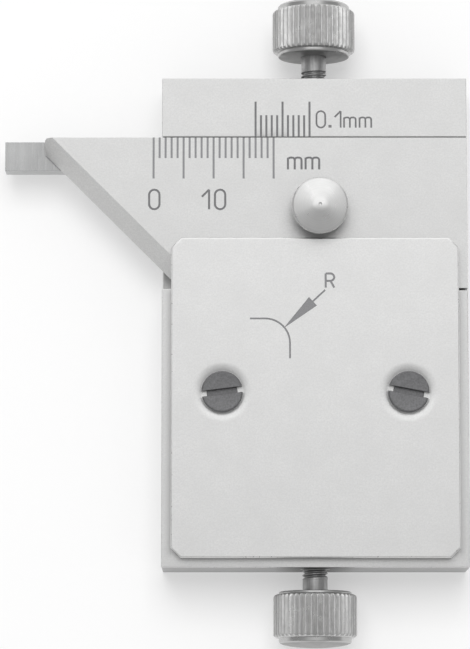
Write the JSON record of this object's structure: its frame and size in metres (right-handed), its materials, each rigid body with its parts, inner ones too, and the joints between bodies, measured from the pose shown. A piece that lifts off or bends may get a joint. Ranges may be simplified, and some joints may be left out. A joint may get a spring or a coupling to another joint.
{
  "type": "radius gauge",
  "caption": "Adjustable radius gauge with a slanted measuring slide, a contact arm, a vernier rail and two knurled clamp screws.",
  "frame": {"origin": "centre of the body's back face", "axes": "+X to the right of the graduated front, +Y towards the vernier rail, +Z out of the graduated front"},
  "size_m": [0.0772, 0.1087, 0.0182],
  "materials": {
    "satin_chrome": "fine matt chrome over ground steel",
    "cover_chrome": "bright fine matt chrome",
    "ground_steel": "surface ground hardened steel",
    "turned_steel": "turned and knurled steel",
    "black_steel": "blackened steel",
    "stud_steel": "dark threaded steel",
    "brass": "machined brass"
  },
  "bodies": {
    "frame": {"body": "satin_chrome", "arm_guide_strip": "ground_steel", "guide_strip_screw_left": "black_steel", "guide_strip_screw_right": "black_steel", "slide_stop_pin": "ground_steel", "arm_stop_pin": "ground_steel", "cover_plate": "cover_chrome", "cover_screw_left": "black_steel", "cover_screw_right": "black_steel", "cover_dowel_lower": "ground_steel", "cover_dowel_upper": "ground_steel"},
    "measuring_slide": {"slide": "satin_chrome", "thumb_button": "turned_steel", "button_screw": "black_steel"},
    "arm": {"contact_arm": "ground_steel"},
    "upper_shoe": {"upper_clamp_shoe": "brass"},
    "upper_clamp": {"upper_clamp_knob": "turned_steel", "upper_clamp_stud": "stud_steel"},
    "lower_rod": {"lower_push_rod": "ground_steel", "slide_gib_strip": "brass"},
    "lower_clamp": {"lower_clamp_knob": "turned_steel", "lower_clamp_stud": "stud_steel"}
  },
  "joints": [
    {"name": "slide_travel", "type": "slide", "parent": "frame", "child": "measuring_slide", "axis": [1, 0, 0], "range_m": [-0.003, 0.017]},
    {"name": "arm_travel", "type": "slide", "parent": "frame", "child": "arm", "axis": [1, 0, 0], "range_m": [-0.008, 0.01]},
    {"name": "upper_shoe_press", "type": "slide", "parent": "frame", "child": "upper_shoe", "axis": [0, -1, 0], "range_m": [-0.0014, 0.00025]},
    {"name": "upper_clamp_turn", "type": "hinge", "parent": "upper_shoe", "child": "upper_clamp", "pos_m": [0, 0.0456, 0.0072], "axis": [0, -1, 0], "range_deg": [-721, 129]},
    {"name": "lower_rod_press", "type": "slide", "parent": "frame", "child": "lower_rod", "axis": [0, 1, 0], "range_m": [-0.0014, 0.00025]},
    {"name": "lower_clamp_turn", "type": "hinge", "parent": "lower_rod", "child": "lower_clamp", "pos_m": [0, -0.0446, 0.0072], "axis": [0, 1, 0], "range_deg": [-721, 129]}
  ],
  "couplings": [
    {"joint": "upper_clamp_turn", "follows": "upper_shoe_press", "rad_per_m": 8976},
    {"joint": "lower_clamp_turn", "follows": "lower_rod_press", "rad_per_m": 8976}
  ]
}
